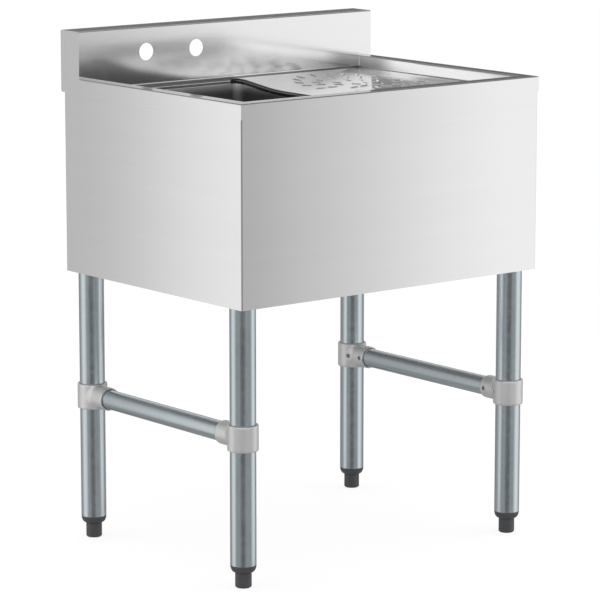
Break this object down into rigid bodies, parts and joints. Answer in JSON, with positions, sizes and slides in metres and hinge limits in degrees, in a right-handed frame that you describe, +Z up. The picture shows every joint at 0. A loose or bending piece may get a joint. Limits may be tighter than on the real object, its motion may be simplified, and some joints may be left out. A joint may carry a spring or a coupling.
{
  "type": "sink with drainer",
  "caption": "Free-standing stainless sink with a deep bowl, a dished drainboard on the right, a backsplash with tap holes and a tubular leg frame.",
  "frame": {"origin": "on the floor, at the middle of the outline", "axes": "+Z up, the front faces -Y, the drainboard is at +X"},
  "size_m": [0.6096, 0.4762, 0.8382],
  "materials": {
    "stainless": "fine brushed grain",
    "polished": "bright drawn stainless",
    "galvanized": "galvanised, satin",
    "screw": "zinc plated",
    "casting": "bare casting, dull",
    "plastic": "moulded, satin",
    "rubber": "moulded, matt",
    "fibre": "pressed fibre"
  },
  "bodies": {
    "sink": {"deck_rim": "stainless", "drainboard": "stainless", "backsplash": "stainless", "splash_end_left": "stainless", "splash_end_right": "stainless", "bowl": "stainless", "apron": "stainless", "channel_left": "galvanized", "channel_right": "galvanized", "drainboard_stiffener": "galvanized", "leg_gusset_fl": "galvanized", "leg_gusset_fr": "galvanized", "leg_gusset_rl": "galvanized", "leg_gusset_rr": "galvanized", "leg_fl": "galvanized", "leg_fr": "galvanized", "leg_rl": "galvanized", "leg_rr": "galvanized", "tee_socket_fl": "casting", "tee_socket_fr": "casting", "tee_socket_rl": "casting", "tee_socket_rr": "casting", "crossbar_left": "galvanized", "crossbar_right": "galvanized", "tee_set_screws": "screw", "gusset_set_screws": "screw", "foot_insert_fl": "plastic", "foot_insert_fr": "plastic", "foot_insert_rl": "plastic", "foot_insert_rr": "plastic", "strainer_body": "polished", "strainer_gasket": "rubber", "strainer_washer": "fibre", "strainer_locknut": "casting"},
    "basket": {"basket": "polished", "basket_post": "polished", "basket_seal": "rubber"},
    "foot_fl": {"foot_fl": "plastic", "foot_stud_fl": "screw"},
    "foot_fr": {"foot_fr": "plastic", "foot_stud_fr": "screw"},
    "foot_rl": {"foot_rl": "plastic", "foot_stud_rl": "screw"},
    "foot_rr": {"foot_rr": "plastic", "foot_stud_rr": "screw"}
  },
  "joints": [
    {"name": "basket_lift", "type": "slide", "parent": "sink", "child": "basket", "axis": [0, 0, 1], "range_m": [0, 0.41]},
    {"name": "foot_fl_height", "type": "slide", "parent": "sink", "child": "foot_fl", "axis": [0, 0, -1], "range_m": [0, 0.025]},
    {"name": "foot_fr_height", "type": "slide", "parent": "sink", "child": "foot_fr", "axis": [0, 0, -1], "range_m": [0, 0.025]},
    {"name": "foot_rl_height", "type": "slide", "parent": "sink", "child": "foot_rl", "axis": [0, 0, -1], "range_m": [0, 0.025]},
    {"name": "foot_rr_height", "type": "slide", "parent": "sink", "child": "foot_rr", "axis": [0, 0, -1], "range_m": [0, 0.025]}
  ]
}
